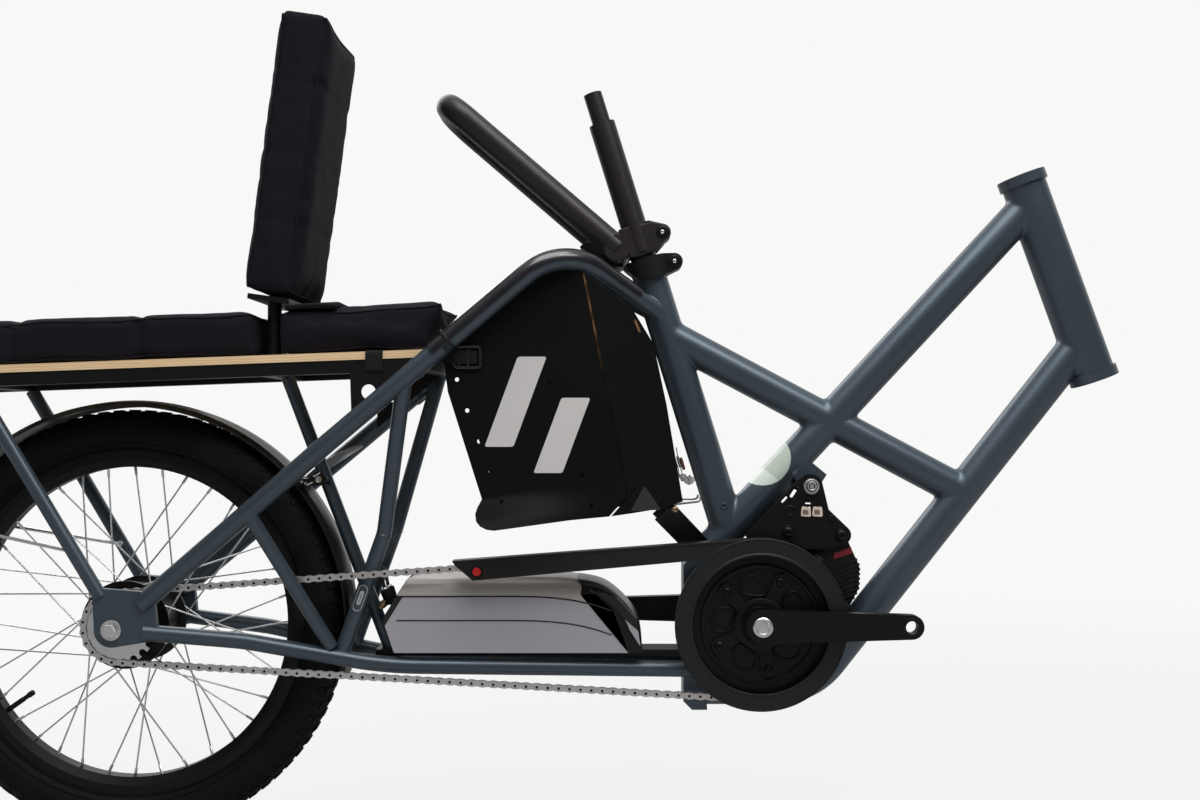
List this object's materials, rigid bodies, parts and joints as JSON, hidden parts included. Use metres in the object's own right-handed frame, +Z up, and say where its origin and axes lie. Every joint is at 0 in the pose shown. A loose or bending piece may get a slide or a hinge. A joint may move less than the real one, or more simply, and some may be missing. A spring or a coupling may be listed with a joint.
{
  "type": "longtail cargo bike rolling chassis",
  "caption": "Longtail cargo bike chassis: frame, mid motor, crankset, chain, leg guards, padded passenger deck with backrest, grab hoop and rear wheel; its fork, bars and saddle fit on mounts.",
  "frame": {"origin": "centre of the head tube's lower mouth, where the fork's crown race side goes in", "axes": "+X forward, +Y to the rider's left, +Z up, with the wheels' common ground plane level"},
  "size_m": [1.4505, 0.2354, 0.967],
  "materials": {
    "frame_paint": "satin metallic blue-grey",
    "black_steel": "satin powder coat",
    "black_alloy": "black anodised, satin",
    "brown_anodised": "dark grey-brown anodised, satin",
    "black_plastic": "satin moulded",
    "gloss_strip": "glossy",
    "navy_fabric": "near-black navy weave",
    "plywood": "clear varnish",
    "bright_steel": "bright",
    "chain_steel": "nickel-plated, slightly worn",
    "tyre_rubber": "matt",
    "battery_shell": "grey-brown satin"
  },
  "bodies": {
    "frame": {"backrest_base": "black_steel", "backrest_pad": "navy_fabric", "bar_clamp": "brown_anodised", "battery": "battery_shell", "battery_tray": "black_steel", "bottom_yoke": "frame_paint", "center_strut": "frame_paint", "chain": "chain_steel", "chain_guard": "black_plastic", "chainstay_left": "frame_paint", "chainstay_right": "frame_paint", "cross_beam": "frame_paint", "deck_board": "plywood", "deck_gussets": "black_steel", "deck_rack": "black_steel", "dropout_left": "frame_paint", "dropout_right": "frame_paint", "front_cushion": "navy_fabric", "front_strut_left": "frame_paint", "front_strut_right": "frame_paint", "grab_hoop": "brown_anodised", "head_tube": "frame_paint", "lower_beam": "frame_paint", "main_beam": "frame_paint", "motor": "black_alloy", "motor_bolt": "bright_steel", "motor_plate_left": "black_alloy", "motor_plate_right": "black_alloy", "motor_tab": "frame_paint", "mudguard": "black_plastic", "mudguard_stays": "bright_steel", "mudguard_tab": "black_steel", "panel_stays": "black_steel", "rail_cap_left": "gloss_strip", "rail_cap_right": "gloss_strip", "rear_axle": "bright_steel", "rear_cushion": "navy_fabric", "rear_stay_left": "frame_paint", "rear_stay_right": "frame_paint", "rear_strut_left": "frame_paint", "rear_strut_right": "frame_paint", "seat_clamp": "black_steel", "seat_tube": "frame_paint", "side_panel_left": "black_plastic", "side_panel_right": "black_plastic", "side_rail_left": "frame_paint", "side_rail_right": "frame_paint", "stay_bridge": "frame_paint"},
    "crank": {"chainring": "black_alloy", "spindle": "bright_steel", "crank_arm_right": "black_alloy", "crank_arm_left": "black_alloy"},
    "rear_wheel": {"tyre": "tyre_rubber", "rim": "black_alloy", "spokes": "bright_steel", "hub": "black_alloy", "rear_sprocket": "bright_steel"},
    "seat_post": {"seat_post": "brown_anodised"}
  },
  "joints": [
    {"name": "rear_wheel_spin", "type": "hinge", "parent": "frame", "child": "rear_wheel", "pos_m": [-1.15721, 0, -0.2902], "axis": [0, 1, 0], "continuous": true},
    {"name": "crank_spin", "type": "hinge", "parent": "frame", "child": "crank", "pos_m": [-0.4095, 0, -0.2852], "axis": [0, 1, 0], "continuous": true},
    {"name": "seat_post_slide", "type": "slide", "parent": "frame", "child": "seat_post", "axis": [-0.2974, 0, 0.9548], "range_m": [-0.12, 0.06]}
  ]
}
